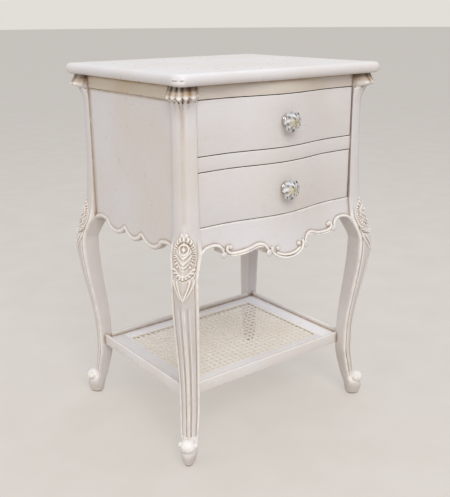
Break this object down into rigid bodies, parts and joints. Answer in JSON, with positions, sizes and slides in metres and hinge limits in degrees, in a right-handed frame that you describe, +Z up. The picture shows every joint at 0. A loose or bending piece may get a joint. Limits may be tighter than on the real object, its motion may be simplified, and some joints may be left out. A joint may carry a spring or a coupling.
{
  "type": "nightstand",
  "caption": "French-style bedside table with serpentine drawers, crystal knobs, carved aprons, cabriole legs and a caned lower shelf.",
  "frame": {"origin": "under the middle of the whole object's box, on the floor that the feet stand on", "axes": "+Z up; -Y out of the drawer fronts; +X to the right, seen from the front"},
  "size_m": [0.4738, 0.414, 0.7],
  "materials": {
    "painted_wood": "cream antique paint, satin, with ochre glaze in the carving",
    "bare_wood": "plain sanded softwood",
    "cane": "six-way woven cane, cream paint with ochre glaze",
    "crystal": "clear cut crystal",
    "knob_metal": "polished",
    "screw_steel": "zinc plated"
  },
  "bodies": {
    "case": {"top": "painted_wood", "leg_front_left": "painted_wood", "leg_front_right": "painted_wood", "leg_back_left": "painted_wood", "leg_back_right": "painted_wood", "front_top_rail": "painted_wood", "divider_rail": "painted_wood", "front_apron": "painted_wood", "side_panel_left": "painted_wood", "side_panel_right": "painted_wood", "side_top_rail_left": "painted_wood", "side_top_rail_right": "painted_wood", "back_panel": "painted_wood", "back_rail": "painted_wood", "kicker_left": "bare_wood", "kicker_right": "bare_wood", "upper_runner_left": "bare_wood", "upper_runner_right": "bare_wood", "lower_runner_left": "bare_wood", "lower_runner_right": "bare_wood", "upper_guide_left": "bare_wood", "upper_guide_right": "bare_wood", "lower_guide_left": "bare_wood", "lower_guide_right": "bare_wood", "dust_panel": "bare_wood", "bottom_panel": "bare_wood", "upper_drawer_stops": "bare_wood", "lower_drawer_stops": "bare_wood", "corner_blocks": "bare_wood", "top_screws": "screw_steel", "shelf_rim_front": "painted_wood", "shelf_rim_back": "painted_wood", "shelf_rim_left": "painted_wood", "shelf_rim_right": "painted_wood", "shelf_board_front": "painted_wood", "shelf_board_back": "painted_wood", "shelf_board_left": "painted_wood", "shelf_board_right": "painted_wood", "cane_panel": "cane", "cane_spline": "cane"},
    "upper_drawer": {"upper_drawer_front": "painted_wood", "upper_drawer_side_left": "bare_wood", "upper_drawer_side_right": "bare_wood", "upper_drawer_back": "bare_wood", "upper_drawer_bottom": "bare_wood", "upper_knob_crystal": "crystal", "upper_knob_base": "knob_metal", "upper_knob_screw": "screw_steel"},
    "lower_drawer": {"lower_drawer_front": "painted_wood", "lower_drawer_side_left": "bare_wood", "lower_drawer_side_right": "bare_wood", "lower_drawer_back": "bare_wood", "lower_drawer_bottom": "bare_wood", "lower_knob_crystal": "crystal", "lower_knob_base": "knob_metal", "lower_knob_screw": "screw_steel"}
  },
  "joints": [
    {"name": "upper_drawer_slide", "type": "slide", "parent": "case", "child": "upper_drawer", "axis": [0, -1, 0], "range_m": [0, 0.22]},
    {"name": "lower_drawer_slide", "type": "slide", "parent": "case", "child": "lower_drawer", "axis": [0, -1, 0], "range_m": [0, 0.22]}
  ]
}
